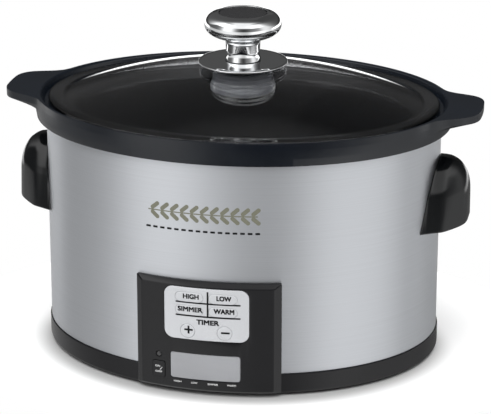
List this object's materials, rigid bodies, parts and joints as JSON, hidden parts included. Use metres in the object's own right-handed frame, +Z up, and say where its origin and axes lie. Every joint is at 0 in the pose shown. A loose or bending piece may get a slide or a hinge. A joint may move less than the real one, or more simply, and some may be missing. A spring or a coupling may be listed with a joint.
{
  "type": "slow cooker",
  "caption": "Oval slow cooker: steel-wrapped base with side grips and a keypad panel, lift-out dark stoneware crock with lugs, and a domed glass lid with a chrome knob.",
  "frame": {"origin": "centre of the footprint on the table, under the middle of the feet", "axes": "+Z up, X along the oval's long axis, the control panel faces -Y"},
  "size_m": [0.363, 0.2493, 0.2585],
  "materials": {
    "steel": "satin, brushed round the body",
    "black_plastic": "satin",
    "handle_plastic": "gloss",
    "panel_plastic": "satin",
    "silver_pad": "satin, silver",
    "silver_key": "satin, silver",
    "screen": "satin",
    "screen_window": "gloss",
    "led": "gloss",
    "rubber": "matte",
    "gasket": "matte",
    "wire": "satin",
    "zinc": "satin",
    "mica": "matte",
    "transformer_tape": "satin",
    "relay_case": "satin",
    "wool": "matte",
    "board": "satin",
    "stoneware": "gloss",
    "glass": "clear",
    "chrome": "mirror",
    "knob_inlay": "gloss",
    "silicone": "translucent grey"
  },
  "bodies": {
    "base": {"outer_wrap": "steel", "base_ring": "black_plastic", "bottom_cover": "black_plastic", "foot_front_left": "rubber", "foot_front_right": "rubber", "foot_rear_left": "rubber", "foot_rear_right": "rubber", "cover_screw_front_left": "zinc", "cover_screw_front_right": "zinc", "cover_screw_rear_left": "zinc", "cover_screw_rear_right": "zinc", "top_trim": "black_plastic", "liner": "zinc", "heater_band": "mica", "band_buckle": "zinc", "insulation": "wool", "heat_shield": "zinc", "center_stud": "zinc", "center_nut": "zinc", "temperature_sensor": "zinc", "thermal_fuse": "zinc", "power_board": "board", "transformer": "transformer_tape", "relay": "relay_case", "display_board": "board", "lcd_module": "screen", "wire_harness": "wire", "left_handle": "handle_plastic", "right_handle": "handle_plastic", "handle_screw_left_front": "zinc", "handle_screw_left_rear": "zinc", "handle_screw_right_front": "zinc", "handle_screw_right_rear": "zinc", "panel_bezel": "panel_plastic", "keypad_plate": "silver_pad", "lcd_window": "screen_window", "led_lens": "led", "panel_screw_left_low": "zinc", "panel_screw_left_high": "zinc", "panel_screw_right_low": "zinc", "panel_screw_right_high": "zinc", "cord_gland": "rubber"},
    "crock": {"crock": "stoneware"},
    "lid": {"lid_glass": "glass", "knob": "chrome", "knob_cap": "knob_inlay", "knob_flange": "chrome", "knob_gasket": "gasket", "knob_retainer": "silicone", "knob_screw": "zinc"},
    "key_high": {"key_high": "silver_key"},
    "key_low": {"key_low": "silver_key"},
    "key_simmer": {"key_simmer": "silver_key"},
    "key_warm": {"key_warm": "silver_key"},
    "key_plus": {"key_plus": "silver_key"},
    "key_minus": {"key_minus": "silver_key"},
    "key_power": {"key_power": "panel_plastic"}
  },
  "joints": [
    {"name": "crock_lift", "type": "slide", "parent": "base", "child": "crock", "axis": [0, 0, 1], "range_m": [0, 0.16]},
    {"name": "lid_lift", "type": "slide", "parent": "crock", "child": "lid", "axis": [0, 0, 1], "range_m": [0, 0.12]},
    {"name": "key_high_press", "type": "slide", "parent": "base", "child": "key_high", "axis": [0, 1, 0], "range_m": [0, 0.0008], "stiffness_N_per_m": 600, "springref_m": -0.0004},
    {"name": "key_low_press", "type": "slide", "parent": "base", "child": "key_low", "axis": [0, 1, 0], "range_m": [0, 0.0008], "stiffness_N_per_m": 600, "springref_m": -0.0004},
    {"name": "key_simmer_press", "type": "slide", "parent": "base", "child": "key_simmer", "axis": [0, 1, 0], "range_m": [0, 0.0008], "stiffness_N_per_m": 600, "springref_m": -0.0004},
    {"name": "key_warm_press", "type": "slide", "parent": "base", "child": "key_warm", "axis": [0, 1, 0], "range_m": [0, 0.0008], "stiffness_N_per_m": 600, "springref_m": -0.0004},
    {"name": "key_plus_press", "type": "slide", "parent": "base", "child": "key_plus", "axis": [0, 1, 0], "range_m": [0, 0.0008], "stiffness_N_per_m": 600, "springref_m": -0.0004},
    {"name": "key_minus_press", "type": "slide", "parent": "base", "child": "key_minus", "axis": [0, 1, 0], "range_m": [0, 0.0008], "stiffness_N_per_m": 600, "springref_m": -0.0004},
    {"name": "key_power_press", "type": "slide", "parent": "base", "child": "key_power", "axis": [0, 1, 0], "range_m": [0, 0.0008], "stiffness_N_per_m": 600, "springref_m": -0.0004}
  ]
}
